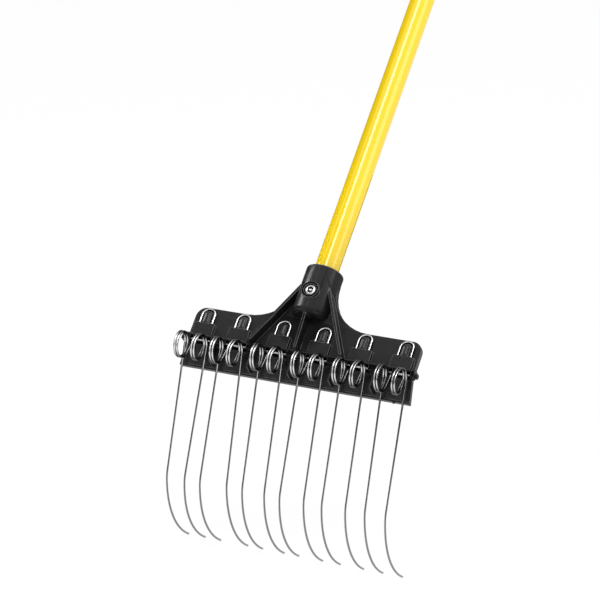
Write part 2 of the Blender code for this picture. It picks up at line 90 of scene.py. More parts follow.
def leaned(points):
    """Points of the upright rake, turned about X at the grip: y' = y cos L + h sin L and
    z' = h cos L - y sin L, with h the height above the grip."""
    points = np.asarray(points, float)
    height = points[..., 2] - GRIP_HEIGHT
    depth = points[..., 1] * math.cos(LEAN) + height * math.sin(LEAN)
    up = height * math.cos(LEAN) - points[..., 1] * math.sin(LEAN)
    return np.stack([points[..., 0], depth, up], axis=-1)


HEAD_CENTRE = Vector(leaned((0.0, -0.0181, 0.0)))
print("coil axis at", [round(value, 4) for value in HEAD_CENTRE])

# %% [markdown]
# ## Camera
#
# The picture was taken with a long lens, from the front right and a little above. The angles come
# from matching the tine tips, the coils and the screw. The frame's centre lies well above the head,
# and a lens shift does that without tilting the camera.

# %% Camera
VIEW_AZIMUTH = math.radians(26.0)
VIEW_ELEVATION = math.radians(20.64)
VIEW_DISTANCE = 3.0

right = Vector((math.cos(VIEW_AZIMUTH), math.sin(VIEW_AZIMUTH), 0))
towards = Vector((
    math.sin(VIEW_AZIMUTH) * math.cos(VIEW_ELEVATION),
    -math.cos(VIEW_AZIMUTH) * math.cos(VIEW_ELEVATION),
    math.sin(VIEW_ELEVATION),
))
above = towards.cross(right)

lens = bpy.data.cameras.new("camera")
lens.lens = 172.8
lens.sensor_width = 36
lens.shift_x = 0.0235
lens.shift_y = 0.1030
camera = bpy.data.objects.new("camera", lens)
aim = Matrix((right, above, towards)).transposed().to_4x4()
aim.translation = HEAD_CENTRE + VIEW_DISTANCE * towards
camera.matrix_world = aim
bpy.context.scene.collection.objects.link(camera)
bpy.context.scene.camera = camera
bpy.context.scene.view_settings.view_transform = "Standard"
print("camera at", [round(value, 3) for value in camera.location])

# %% [markdown]
# ## Shader maths as plain expressions
#
# A finish is a small network of nodes. Wiring it by hand is slow to read, so one class wraps an
# output socket: a sum or a product of two of them adds the Math node that works it out, and one
# method adds any other kind of node.

# %% A socket that can be added and multiplied
class Flow:
    """An output socket of a material. Sums and products of flows add Math nodes."""

    def __init__(self, tree, socket):
        self.tree = tree
        self.socket = socket

    @classmethod
    def node(cls, tree, kind, settings=None, inputs=None, output=0):
        """Adds a node: its settings first, then a value or a link for each named input."""
        made = tree.nodes.new(kind)
        for key, value in (settings or {}).items():
            if key == "stops":
                elements = made.color_ramp.elements
                for position, shade in value[len(elements):]:
                    elements.new(position)
                for element, (position, shade) in zip(elements, value):
                    element.position = position
                    element.color = (shade, shade, shade, 1.0)
            else:
                setattr(made, key, value)
        for key, value in (inputs or {}).items():
            if isinstance(value, cls):
                tree.links.new(value.socket, made.inputs[key])
            else:
                made.inputs[key].default_value = value
        return cls(tree, made.outputs[output])

    def maths(self, operation, first, second):
        inputs = {0: first, 1: second}
        return Flow.node(self.tree, "ShaderNodeMath", {"operation": operation}, inputs)

    def __add__(self, other):
        return self.maths("ADD", self, other)

    def __radd__(self, other):
        return self.maths("ADD", other, self)

    def __sub__(self, other):
        return self.maths("SUBTRACT", self, other)

    def __rsub__(self, other):
        return self.maths("SUBTRACT", other, self)

    def __mul__(self, other):
        return self.maths("MULTIPLY", self, other)

    def __rmul__(self, other):
        return self.maths("MULTIPLY", other, self)

    def between(self, low, high):
        """The flow, from 0 to 1, spread from low to high."""
        return low + self * (high - low)

    def ramp(self, *stops):
        """The flow through a grey ramp of (position, shade) stops."""
        return Flow.node(self.tree, "ShaderNodeValToRGB", {"stops": stops}, {0: self})

    def mix(self, low, high):
        """A colour that goes from low to high as the flow goes from 0 to 1."""
        inputs = {0: self, 6: low, 7: high}
        return Flow.node(self.tree, "ShaderNodeMix", {"data_type": "RGBA"}, inputs, 2)


print("shader helper ready")

# %% [markdown]
# ## Textures and surfaces
#
# Most finishes here need the same three things: a noise at a known size, a fine relief, and the
# Principled surface itself. The noise reads object coordinates, which are metres here, so a scale
# of 1000 makes grains of about a millimetre.

# %% Noise, relief and surface
def new_finish(name):
    """An empty material and its node tree."""
    material = bpy.data.materials.new(name)
    material.use_nodes = True
    material.node_tree.nodes.clear()
    return material, material.node_tree


def rgba(red, green, blue):
    return (red, green, blue, 1.0)


def grey(shade):
    return rgba(shade, shade, shade)


def place(tree, source="Object", stretch=(1.0, 1.0, 1.0), turn=(0.0, 0.0, 0.0)):
    """Coordinates of the surface, stretched and turned."""
    start = Flow.node(tree, "ShaderNodeTexCoord", output=source)
    inputs = {"Vector": start, "Scale": stretch, "Rotation": turn}
    return Flow.node(tree, "ShaderNodeMapping", {"vector_type": "TEXTURE"}, inputs)


def noise(tree, where, scale, detail=3.0):
    inputs = {"Vector": where, "Scale": scale, "Detail": detail}
    return Flow.node(tree, "ShaderNodeTexNoise", None, inputs)


def relief(tree, height, depth, strength=1.0, under=None):
    """A Bump node: the height, from 0 to 1, stands for that depth in metres."""
    inputs = {"Height": height, "Distance": depth, "Strength": strength}
    if under:
        inputs["Normal"] = under
    return Flow.node(tree, "ShaderNodeBump", None, inputs)


def surface(tree, inputs):
    """The Principled surface and the material's output."""
    shader = Flow.node(tree, "ShaderNodeBsdfPrincipled", None, inputs)
    out = tree.nodes.new("ShaderNodeOutputMaterial")
    tree.links.new(shader.socket, out.inputs["Surface"])


# %% [markdown]
# ## Black moulding
#
# The head is injection moulded from a tough black plastic. New mouldings are satin: the steel tool
# was spark-eroded, so the skin has a fine even grain, and the plastic flows in broad soft bands
# that shine a little more or less. The plastic is nearly black, and what is seen of it is mostly
# the white studio in its sheen. The ledge's front and the skirt's top are left as a dark band of
# painted shade, with the ledge's front smoother and darker still. The lower skirt, the gap under
# the ledge and the plate above it are lightened with painted light, and the rounded edges get a
# pale painted highlight.

# %% Heights up the rake
LEVEL_START = -0.040
LEVEL_SPAN = 0.070
HANDLE_AXIS = (0.0, math.sin(LEAN), math.cos(LEAN))
DEPTH_AXIS = (0.0, math.cos(LEAN), -math.sin(LEAN))


def along(tree, where, axis):
    """How far a point lies along an axis through the origin, in metres."""
    settings = {"operation": "DOT_PRODUCT"}
    return Flow.node(tree, "ShaderNodeVectorMath", settings, {0: where, 1: axis}, "Value")


def level(tree, where, start=LEVEL_START, span=LEVEL_SPAN):
    """How far up the handle's axis a point lies: 0 at the start, 1 a span above it."""
    return (along(tree, where, HANDLE_AXIS) + (GRIP_HEIGHT - start)) * (1 / span)


def zones(*stops, start=LEVEL_START, span=LEVEL_SPAN):
    """Ramp stops from pairs of a place along an axis, in millimetres, and a shade."""
    return [((place / 1000 - start) / span, shade) for place, shade in stops]


def nearness(tree, where, point, stops):
    """A ramp of the distance from a point of the upright rake, in centimetres."""
    settings = {"operation": "DISTANCE"}
    inputs = {0: where, 1: tuple(leaned(point))}
    away = Flow.node(tree, "ShaderNodeVectorMath", settings, inputs, "Value")
    return (away * 10.0).ramp(*[(distance / 10, shade) for distance, shade in stops])


print("ledge top is at level", round(zones((21.0, 1))[0][0], 2))

# %% [markdown]
# ## Where shade is painted on the black plastic
#
# The photograph shows some places darker or duller than the lamps here would make them: the collar
# round the screw, the hollow under the socket, the necks beside it, two bands along the socket and
# the gussets' outer sides. Here they get painted shade, a darker colour; the bands and the gussets'
# sides are also rougher, and the collar and the hollow smoother. Whether the plastic differs there
# or only the room's reflections do, the picture can't tell. So these places are matched to the
# photograph and aren't known features of the rake.
#
# Each place is a mask: 1 inside it and 0 outside, with a soft edge. Some are bands of height, some
# are balls round a point, and the dull bands follow X across the socket. A gusset's outer side is
# the thin slab beside its slanted line, in front of the plate. Masks keep the moulding one piece.

# %% Places on the moulding
# The near black used for painted shade.
PAINTED_SHADE = grey(0.002)
SCREW_COLLAR = (0.0, -0.0225, 0.0846)
SPINE_HEAD = (0.0, -0.0015, 0.0520)
NECKS = ((-0.0350, -0.0060, 0.0615), (0.0350, -0.0060, 0.0615))
# The ledge's front: darkened with painted shade, and smoother.
POLISH_SHADE_LEVELS = zones((11.7, 0), (11.9, 1), (18.2, 1), (18.6, 0))
# Painted light on the lower skirt, the gap under the ledge and the plate above the ledge.
FILL_LIGHT_LEVELS = zones(
    (1.0, 0.55), (6.0, 0), (9.5, 0), (10.0, 1), (11.6, 1), (11.8, 0), (20.5, 0), (22.5, 0.30),
)
HOLLOW_SHADE_SPAN = 0.1
HOLLOW_SHADE_LEVELS = zones((59.0, 1), (60.5, 0), start=0.0, span=HOLLOW_SHADE_SPAN)
MATT_SHADE_SPAN = 0.2
MATT_SHADE_LEVELS = zones((56.0, 0), (62.0, 1), start=0.0, span=MATT_SHADE_SPAN)
ACROSS = {"start": -0.020, "span": 0.040}
MATT_SHADE_BANDS = zones((-1.0, 0), (3.0, 1), (9.0, 1), (12.6, 0), (16.5, 0), (18.2, 1), **ACROSS)
FLANK_ACROSS = 0.887
FLANK_UP = 0.4617
FLANK_START = FLANK_ACROSS * 0.0530 + FLANK_UP * 0.0210


def matt_shade_places(tree, where, collar_shade):
    """1 in the dull bands of painted shade on the socket and on the gussets' outer sides. A
    gusset's line is where FLANK_ACROSS |x| + FLANK_UP h is FLANK_START, and its side is 1.5 mm
    beside that."""
    across = Flow.node(tree, "ShaderNodeSeparateXYZ", None, {0: where})
    bands = ((across - ACROSS["start"]) * (1 / ACROSS["span"])).ramp(*MATT_SHADE_BANDS)
    bands = bands * level(tree, where, 0.0, MATT_SHADE_SPAN).ramp(*MATT_SHADE_LEVELS) * (1.0 - collar_shade)
    beside = across.maths("ABSOLUTE", across, 0.0) * FLANK_ACROSS
    beside = (beside + level(tree, where, 0.0, 1.0) * FLANK_UP - FLANK_START) * 100.0
    flank = beside.ramp((0.11, 0.0), (0.14, 1.0), (0.22, 1.0), (0.30, 0.0))
    in_front = (along(tree, where, DEPTH_AXIS) * -100.0).ramp((0.03, 0.0), (0.08, 1.0))
    return bands.maths("MAXIMUM", bands, flank * in_front)


# %% Black moulding
def black_moulding_finish():
    material, tree = new_finish("black_moulding_satin")
    where = place(tree)
    height = level(tree, where)
    polish_and_shade = height.ramp(*POLISH_SHADE_LEVELS)
    painted_fill = height.ramp(*FILL_LIGHT_LEVELS)
    bands = noise(tree, where, 45.0, 2.0)
    clouds = noise(tree, where, 320.0, 3.0)
    grain = noise(tree, where, 2600.0, 2.0)
    scuff = noise(tree, where, 900.0, 4.0).ramp((0.60, 0.0), (0.74, 1.0))
    tone = bands.between(0.0, 0.7) + clouds.between(0.0, 0.3)
    colour = tone.mix(rgba(0.006, 0.006, 0.0062), rgba(0.012, 0.012, 0.0125))
    colour = (scuff * 0.35).mix(colour, grey(0.035))
    # Painted light lifts the colour everywhere but the dark band under the ledge's top.
    colour = painted_fill.mix(colour, grey(0.032))
    collar_shade = nearness(tree, where, SCREW_COLLAR, ((0.99, 1.0), (1.06, 0.0)))
    hollow_shade = nearness(tree, where, SPINE_HEAD, ((1.8, 1.0), (3.2, 0.0)))
    hollow_shade = hollow_shade * level(tree, where, 0.0, HOLLOW_SHADE_SPAN).ramp(*HOLLOW_SHADE_LEVELS)
    neck_shade = sum(nearness(tree, where, point, ((1.1, 1.0), (1.8, 0.0))) for point in NECKS)
    matt_and_shade = matt_shade_places(tree, where, collar_shade)
    # Painted shade: collar, hollow, necks, ledge front and the dull places go towards near black.
    colour = (collar_shade * 0.8 + hollow_shade * 0.35 + neck_shade * 0.5 + polish_and_shade * 0.7).mix(colour, PAINTED_SHADE)
    colour = (matt_and_shade * 0.5).mix(colour, PAINTED_SHADE)
    rough = bands.between(0.24, 0.36) + scuff * 0.10 + matt_and_shade * 0.35
    surface(tree, {
        "Base Color": colour,
        "Roughness": rough - (polish_and_shade + collar_shade + hollow_shade) * 0.16,
        "Specular IOR Level": 0.30,
        "Normal": relief(tree, grain, 0.00004, 0.35),
    })
    return material


SOCKET_FOOT = (0.0, 0.0, 0.0600)
FOOT_SHADE_DEPTH = -0.0040
LIT_EDGE_LEVELS = zones((-11.2, 0), (-10.8, 1), (-9.5, 1), (-9.0, 0), (20.5, 0), (22.0, 1))


def black_edge_finish():
    """The same plastic where it is rounded over: a pale painted highlight on the lip and on the
    edges above the ledge, near black elsewhere, and painted shade near the socket's foot.
    """
    material, tree = new_finish("black_moulding_edge")
    where = place(tree)
    wear_and_glint = noise(tree, where, 260.0, 4.0)
    lit_edges = level(tree, where).ramp(*LIT_EDGE_LEVELS)
    # Painted highlight: the rounded edges are pale where light would catch them.
    edge_highlight = wear_and_glint.mix(grey(0.040), rgba(0.220, 0.220, 0.216))
    # Painted shade: near the socket's foot the edges stay near black.
    foot_shade = ((along(tree, where, DEPTH_AXIS) - FOOT_SHADE_DEPTH) * 100.0).ramp((0.0, 0.0), (0.15, 1.0))
    foot_shade = foot_shade * nearness(tree, where, SOCKET_FOOT, ((2.6, 1.0), (3.0, 0.0)))
    edge_highlight = foot_shade.mix(edge_highlight, grey(0.004))
    surface(tree, {
        "Base Color": lit_edges.mix(grey(0.008), edge_highlight),
        "Roughness": wear_and_glint.between(0.30, 0.45),
        "Specular IOR Level": 0.30,
    })
    return material


BLACK = black_moulding_finish()
BLACK_EDGE = black_edge_finish()
print("made", BLACK.name, "and", BLACK_EDGE.name)

# %% [markdown]
# ## Yellow fibreglass
#
# The handle is pultruded: bundles of glass fibre are drawn through resin and a heated die. The
# fibres leave fine streaks along the whole length just under a clear glossy skin. The streaks
# follow the surface, so they read the handle's own UV map, with U along the handle and V round it.

# %% Yellow fibreglass
def yellow_fibreglass_finish():
    material, tree = new_finish("yellow_fibreglass_gloss")
    fibres = noise(tree, place(tree, "UV", stretch=(1.0, 0.01, 1.0)), 2.5, 1.0)
    broad = noise(tree, place(tree, "UV", stretch=(1.0, 0.1, 1.0)), 1.5, 0.0)
    streaks = fibres.ramp((0.35, 0.0), (0.65, 1.0))
    colour = streaks.mix(rgba(0.94, 0.640, 0.006), rgba(0.98, 0.710, 0.010))
    colour = (broad * 0.4).mix(colour, rgba(0.95, 0.670, 0.007))
    surface(tree, {
        "Base Color": colour,
        "Roughness": fibres.between(0.45, 0.60),
        "Specular IOR Level": 0.0,
        "Coat Weight": 1.0,
        "Coat IOR": 1.65,
        "Coat Roughness": 0.12,
        "Normal": relief(tree, fibres, 0.00001, 0.1),
    })
    return material


YELLOW = yellow_fibreglass_finish()
print("made", YELLOW.name)

# %% [markdown]
# ## Spring steel, zinc, rubber and wood
#
# The wires are drawn through a die, which leaves fine lines along them, and then plated bright. The
# screw is turned and zinc plated. The cap at the top of the handle is soft matt rubber, and the
# plug inside the handle's foot is wood.

# %% Metals
COIL_RADIUS = 0.0136
UNDER_COIL = Vector((0.0, 0.5, -0.866))


def wire_surface(tree, where, core, rim, shade=None):
    """A drawn wire: painted reflection, middle and edge colours, and painted shade where shaded."""
    lines = noise(tree, place(tree, "UV", stretch=(1.0, 0.05, 1.0)), 60.0, 4.0)
    edge = Flow.node(tree, "ShaderNodeLayerWeight", None, {"Blend": 0.5}, "Facing")
    # Painted reflection: the colour goes from the middle to the edges as the wire turns away.
    colour = edge.ramp((0.10, 0.0), (0.45, 1.0)).mix(core, rim)
    # Painted shade where the wire lies in shade.
    if shade:
        colour = (shade * 0.75).mix(colour, grey(0.05))
    surface(tree, {
        "Base Color": colour,
        "Metallic": 1.0,
        "Roughness": lines.between(0.14, 0.30),
        "Normal": relief(tree, lines, 0.00003, 0.3),
    })


def drawn_wire_finish(name, dark, bright, shade_by=None):
    """Bright along the middle of the wire and darker at its edges: a painted reflection of a white
    room with dark corners. shade_by gives a flow that is 1 where the wire lies in shade, which
    then gets painted shade."""
    material, tree = new_finish(name)
    where = place(tree)
    core = noise(tree, where, 160.0, 3.0).mix(grey(dark), grey(bright))
    shade = shade_by(tree, where) if shade_by else None
    wire_surface(tree, where, core, grey(0.06), shade)
    return material


def tine_finish():
    """The same wire where it hangs clear of the head, with a painted reflection: dark along its
    middle, for the dark room in front of it, and white at its edges, for the white paper behind
    it. The hooks get a darker painted reflection, and near the head the wire is brighter."""
    material, tree = new_finish("spring_steel_tine_reflection")
    where = place(tree)
    cloud = noise(tree, where, 160.0, 3.0)
    near_head = level(tree, where).ramp(*zones((-21.0, 0), (-14.0, 1)))
    hook_levels = zones((-165, 1), (-108, 0), start=-0.25, span=0.25)
    hook = level(tree, where, -0.25, 0.25).ramp(*hook_levels)
    # Painted reflection: lighter near the head, dark clear of it, darker still on the hooks.
    near = cloud.mix(grey(0.50), grey(0.72))
    clear = cloud.mix(grey(0.14), grey(0.23))
    clear = hook.mix(clear, grey(0.006))
    core = near_head.mix(clear, near)
    white_rim = hook.mix(grey(0.95), grey(0.01))
    rim = near_head.mix(white_rim, grey(0.06))
    wire_surface(tree, where, core, rim)
    return material


def under_ledge(tree, where):
    """1 on the legs, which lie in the ledge's shade, and 0 on the loops above it."""
    return level(tree, where).ramp(*zones((17.0, 1), (21.0, 0)))


def under_coil(tree, where):
    """1 on the lowest part of a coil, on the side away from the light."""
    down = along(tree, where, tuple(UNDER_COIL))
    share = (down - HEAD_CENTRE.dot(UNDER_COIL)) * (1 / COIL_RADIUS)
    return share.ramp((0.55, 0.0), (0.85, 1.0))


def zinc_finish():
    material, tree = new_finish("zinc_plate")
    cloud = noise(tree, place(tree), 700.0, 4.0)
    bright = cloud.mix(rgba(0.66, 0.67, 0.69), rgba(0.86, 0.86, 0.87))
    radius = Flow.node(tree, "ShaderNodeSeparateXYZ", None, {0: place(tree, "UV")})
    # Painted shade: the hex socket round the pin is near black.
    socket_shade = (radius * 100.0).ramp((0.11, 0.0), (0.14, 1.0), (0.34, 1.0), (0.37, 0.0))
    surface(tree, {
        "Base Color": socket_shade.mix(bright, grey(0.02)),
        "Metallic": 1.0,
        "Roughness": cloud.between(0.16, 0.32),
        "Normal": relief(tree, cloud, 0.00003, 0.4),
    })
    return material


LOOP_STEEL = drawn_wire_finish("spring_steel_bright", 0.80, 0.95, under_ledge)
ROD_STEEL = drawn_wire_finish("spring_steel_rod", 0.85, 0.95)
STEEL = drawn_wire_finish("spring_steel_plain", 0.72, 0.97, under_coil)
TINE_STEEL = tine_finish()
ZINC = zinc_finish()
print("made", LOOP_STEEL.name, "and", ZINC.name)

# %% Rubber and wood
def rubber_finish():
    material, tree = new_finish("black_rubber_matt")
    where = place(tree)
    grain = noise(tree, where, 1800.0, 3.0)
    cloud = noise(tree, where, 120.0, 2.0)
    surface(tree, {
        "Base Color": cloud.mix(grey(0.012), rgba(0.028, 0.028, 0.027)),
        "Roughness": grain.between(0.62, 0.80),
        "Normal": relief(tree, grain, 0.00012, 0.5),
    })
    return material


def wood_finish():
    material, tree = new_finish("plug_wood_grain")
    rings = noise(tree, place(tree, stretch=(0.2, 0.2, 1.0)), 90.0, 5.0)
    surface(tree, {
        "Base Color": rings.mix(rgba(0.38, 0.22, 0.10), rgba(0.62, 0.43, 0.24)),
        "Roughness": rings.between(0.60, 0.80),
        "Normal": relief(tree, rings, 0.0002, 0.5),
    })
    return material


RUBBER = rubber_finish()
WOOD = wood_finish()
print("made", RUBBER.name, "and", WOOD.name)

# %% [markdown]
# ## Two surfaces that make nearly every piece
#
# A wire is a circle carried along a path, and a turned piece is a profile carried round an axis.
# Both are grids of points, so numpy works each one out in a few lines, with no loop over points.
# The grid is then closed at its ends and given a UV map: U runs along the piece and V round it.

# %% Put a grid of points into a mesh
def grid_object(name, rings, lengths, material, capped=True):
    """rings[i, j] is point j of ring i, closed round j. lengths[i] is how far along ring i lies.
    The faces join each ring to the next, and a flat face closes either end."""
    count, sides = rings.shape[:2]
    ring = np.arange(count - 1)[:, None]
    step = np.arange(sides)[None, :]
    after = (step + 1) % sides
    corners = np.stack([
        ring * sides + step,
        ring * sides + after,
        (ring + 1) * sides + after,
        (ring + 1) * sides + step,
    ], axis=-1).reshape(-1, 4)
    share = np.broadcast_to(step / sides, (count - 1, sides))
    share_after = share + 1 / sides
    here = np.broadcast_to(lengths[:-1, None], share.shape)
    there = np.broadcast_to(lengths[1:, None], share.shape)
    uv = np.stack([here, share, here, share_after, there, share_after, there, share], axis=-1)
    faces = corners.tolist()
    caps = [list(range(sides))[::-1], list(range((count - 1) * sides, count * sides))]
    mesh = bpy.data.meshes.new(name)
    mesh.from_pydata(rings.reshape(-1, 3).tolist(), [], faces + (caps if capped else []))
    layer = mesh.uv_layers.new(name="UVMap")
    flat = np.zeros((len(mesh.loops), 2), np.float32)
    flat[:4 * len(corners)] = uv.reshape(-1, 2)
    layer.data.foreach_set("uv", flat.ravel())
    mesh.shade_smooth()
    mesh.set_sharp_from_angle(angle=math.radians(50))
    mesh.materials.append(material)
    made = bpy.data.objects.new(name, mesh)
    bpy.context.scene.collection.objects.link(made)
    return made


def run_lengths(path):
    """How far along a path each of its points lies."""
    steps = np.linalg.norm(np.diff(path, axis=0), axis=1)
    return np.concatenate([[0.0], np.cumsum(steps)])


def merged(mesh, distance, flatten=False):
    """Merges points closer than the distance, joins flat faces if asked, and turns faces out."""
    work = bmesh.new()
    work.from_mesh(mesh)
    bmesh.ops.remove_doubles(work, verts=work.verts, dist=distance)
    if flatten:
        limit = math.radians(0.5)
        bmesh.ops.dissolve_limit(work, angle_limit=limit, verts=work.verts, edges=work.edges)
    bmesh.ops.recalc_face_normals(work, faces=work.faces)
    work.to_mesh(mesh)
    work.free()


# %% A wire along a path
WIRE_RADIUS = 0.0012
WIRE_SIDES = 20
CHAMFER = WIRE_RADIUS * 0.35


def wire_rings(path, across, radii):
    """Rings of a wire. At each path point the tangent T comes from its neighbours, N is the part of
    the across direction that is square to T, and B = T x N. Ring point j is the path point plus
    radius * (cos(angle) N + sin(angle) B)."""
    tangent = np.gradient(path, axis=0)
    tangent /= np.linalg.norm(tangent, axis=1, keepdims=True)
    normal = across - tangent * (tangent @ across)[:, None]
    normal /= np.linalg.norm(normal, axis=1, keepdims=True)
    third = np.cross(tangent, normal)
    angle = (2 * np.pi * np.arange(WIRE_SIDES) / WIRE_SIDES)[None, :, None]
    around = np.cos(angle) * normal[:, None] + np.sin(angle) * third[:, None]
    return path[:, None] + radii[:, None, None] * around


def wire_object(name, path, across, blunt_start=False, blunt_end=False, finish=STEEL):
    """The wire as a finished object. A blunt end has a small chamfer, as a sheared wire has."""
    path = np.asarray(path, float)
    radii = np.full(len(path), WIRE_RADIUS)
    for wanted, end, beside in ((blunt_start, 0, 1), (blunt_end, -1, -2)):
        if wanted:
            away = path[beside] - path[end]
            corner = path[end] + away / np.linalg.norm(away) * CHAMFER
            at = 1 if end == 0 else len(path) - 1
            path = np.insert(path, at, corner, axis=0)
            radii = np.insert(radii, at, WIRE_RADIUS)
            radii[end] = WIRE_RADIUS - CHAMFER
    lengths = run_lengths(path)
    rings = leaned(wire_rings(path, np.array(across, float), radii))
    made = grid_object(name, rings, lengths, finish)
    return made, lengths[-1]


# %% A piece turned about the handle's axis or the screw's
def turned_rings(profile, sides):
    """Rings of a turned piece: (radius, height) goes round to (r cos a, r sin a, height)."""
    profile = np.asarray(profile, float)
    angle = 2 * np.pi * np.arange(sides) / sides
    flat = np.stack([np.cos(angle), np.sin(angle)], axis=-1)
    across = profile[:, None, :1] * flat[None]
    up = np.broadcast_to(profile[:, None, 1:], (len(profile), sides, 1))
    return np.concatenate([across, up], axis=-1)


def arc_points(centre, radius, start, end, steps):
    """Points of an arc: centre + radius * (cos a, sin a), with a in degrees from start to end."""
    angle = np.radians(np.linspace(start, end, steps + 1))
    return np.asarray(centre) + radius * np.stack([np.cos(angle), np.sin(angle)], axis=-1)


print("surfaces ready")

# %% [markdown]
# ## The spring wires
#
# One wire makes a pair of tines. A smith's fixture bends it: a loop in the middle anchors it behind
# the plate's blocks, two legs run down to a window in the ledge, each leg winds nearly two turns
# into a coil, and the rest is the tine. Here a pair is five pieces, because they move differently.
# The loop and its legs stay with the head, each tine swings about the coils' axis, and each coil
# winds up in between.

# %% Sizes of the wires
LEG_SPREAD = 0.00735
TINE_SPREAD = 0.0130
COIL_STANDOFF = 0.0181
ELBOW_HEIGHT = 0.0125
LOOP_TOP = 0.0525
CLEARANCE = 0.0003
SEAT_Y = -(WIRE_RADIUS + CLEARANCE)
TINE_ANGLE = 27.4
TINE_STRAIGHT = 0.1375
KINK_RADIUS = 0.030
HOOK_START = 45.7
HOOK_END = 105.7
HOOK_RADIUS = 0.095
TINE_LEAN = (0.0, -2.1, -1.0, 1.6, 0.3, 0.3, -1.2, -0.3, -0.5, 0.0, 0.4, -0.8)
STATION_PITCH = 0.0473
FIRST_INSET = 0.0053
STATION_X = [(index - 2.5) * STATION_PITCH for index in range(6)]
STATION_X[0] += FIRST_INSET


def coil_circle(angle):
    """Y and Z of the coil's circle at an angle in degrees, from its back towards its top."""
    angle = np.radians(angle)
    return -COIL_STANDOFF + COIL_RADIUS * np.cos(angle), COIL_RADIUS * np.sin(angle)


away_y = SEAT_Y + COIL_STANDOFF
toward = math.degrees(math.atan2(ELBOW_HEIGHT, away_y))
LEG_ANGLE = toward - math.degrees(math.acos(COIL_RADIUS / math.hypot(away_y, ELBOW_HEIGHT)))
WINDING = (LEG_ANGLE - TINE_ANGLE) % 360 + 360
print(f"a leg meets the coil at {LEG_ANGLE:.1f} degrees and winds {WINDING / 360:.2f} turns")

# %% Paths of the loop, the coil and the tine
LEG_STEPS = 10
ELBOW_ROUND = 0.0040


def rounded_corner(before, corner, after, size, steps):
    """A soft bend: a quadratic curve that leaves each straight that far from the corner."""
    before, corner, after = (np.asarray(point, float) for point in (before, corner, after))
    first = corner + (before - corner) / np.linalg.norm(before - corner) * size
    last = corner + (after - corner) / np.linalg.norm(after - corner) * size
    share = np.linspace(0, 1, steps + 1)[:, None]
    return (1 - share) ** 2 * first + 2 * share * (1 - share) * corner + share ** 2 * last


def loop_path():
    """From the left coil up its leg, over the loop and down the right leg to the right coil."""
    y, z = coil_circle(LEG_ANGLE)
    foot = (LEG_SPREAD, y, z)
    elbow = (LEG_SPREAD, SEAT_Y, ELBOW_HEIGHT)
    shoulder = (LEG_SPREAD, SEAT_Y, LOOP_TOP - LEG_SPREAD)
    bend = rounded_corner(foot, elbow, shoulder, ELBOW_ROUND, 8)
    leg = np.linspace(foot, bend[0], LEG_STEPS)[:-1]
    straight = np.linspace(bend[-1], shoulder, LEG_STEPS)[1:-1]
    half = np.concatenate([leg, bend, straight])
    turn = arc_points((0.0, LOOP_TOP - LEG_SPREAD), LEG_SPREAD, 180, 0, 32)
    over = np.stack([turn[:, 0], np.full(len(turn), SEAT_Y), turn[:, 1]], axis=-1)
    return np.concatenate([half * (-1, 1, 1), over, half[::-1]])


def coil_path(side):
    """A helix: the angle falls by the whole winding while x goes from the leg to the tine."""
    share = np.linspace(0, 1, 121)
    y, z = coil_circle(LEG_ANGLE - WINDING * share)
    x = side * (LEG_SPREAD + (TINE_SPREAD - LEG_SPREAD) * share)
    return np.stack([x, y, z], axis=-1)


def tine_path(side, lean):
    """A straight, a short bend and a long hook, each tangent to the one before. A bend of radius r
    from heading a to b adds r (cos a - cos b) to y and takes r (sin b - sin a) from z."""
    y, z = coil_circle(TINE_ANGLE)
    heading = math.radians(TINE_ANGLE)
    along = np.linspace(0, TINE_STRAIGHT, 24)
    parts = [np.stack([y + along * math.sin(heading), z - along * math.cos(heading)], axis=-1)]
    bends = ((KINK_RADIUS, TINE_ANGLE, HOOK_START, 12), (HOOK_RADIUS, HOOK_START, HOOK_END, 48))
    for radius, start, end, steps in bends:
        turn = np.radians(np.linspace(start, end, steps + 1))[1:]
        last_y, last_z = parts[-1][-1]
        more_y = last_y + radius * (math.cos(math.radians(start)) - np.cos(turn))
        more_z = last_z - radius * (np.sin(turn) - math.sin(math.radians(start)))
        parts.append(np.stack([more_y, more_z], axis=-1))
    flat = np.concatenate(parts)
    x = side * TINE_SPREAD + (flat[0, 1] - flat[:, 1]) * math.tan(math.radians(lean))
    return np.column_stack([x, flat])


# %% Make the six pairs
ACROSS_X = (1, 0, 0)
ACROSS_Y = (0, 1, 0)


def moved(path, x):
    return path + np.array([x, 0.0, 0.0])


def make_pair(index):
    """The five pieces of one wire. The loop's own plane needs another across direction."""
    middle = STATION_X[index]
    spring = f"spring_{index + 1}"
    path = moved(loop_path(), middle)
    loop, wire = wire_object(f"anchor_loop_{index + 1}", path, ACROSS_Y, finish=LOOP_STEEL)
    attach(loop, "rake")
    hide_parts(spring)
    for side in (-1, 1):
        number = 2 * index + (1 if side < 0 else 2)
        body = f"tine_{number:02d}_body"
        coil, wound = wire_object(f"coil_{number:02d}", moved(coil_path(side), middle), ACROSS_X)
        leg = leaned((middle + side * (LEG_SPREAD + WIRE_RADIUS), -COIL_STANDOFF, 0))
        tine_side = leaned((middle + side * (TINE_SPREAD - WIRE_RADIUS), -COIL_STANDOFF, 0))
        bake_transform(coil)
        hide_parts(spring)
        path = moved(tine_path(side, TINE_LEAN[number - 1]), middle)
        name = f"tine_wire_{number:02d}"
        tine, length = wire_object(name, path, ACROSS_X, blunt_end=True, finish=TINE_STEEL)
        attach(tine, body)
        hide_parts(f"tine_{number:02d}")
        wire += wound + length
    return wire


for index in range(6):
    print(f"pair {index + 1}: {make_pair(index) * 1000:.0f} mm of wire")

# %% [markdown]
# ## The retaining rod
#
# A straight rod of the same wire runs through the ledge from end to end and holds every loop's
# elbow in its window. It is a circle carried along a straight, with its ends chamfered.

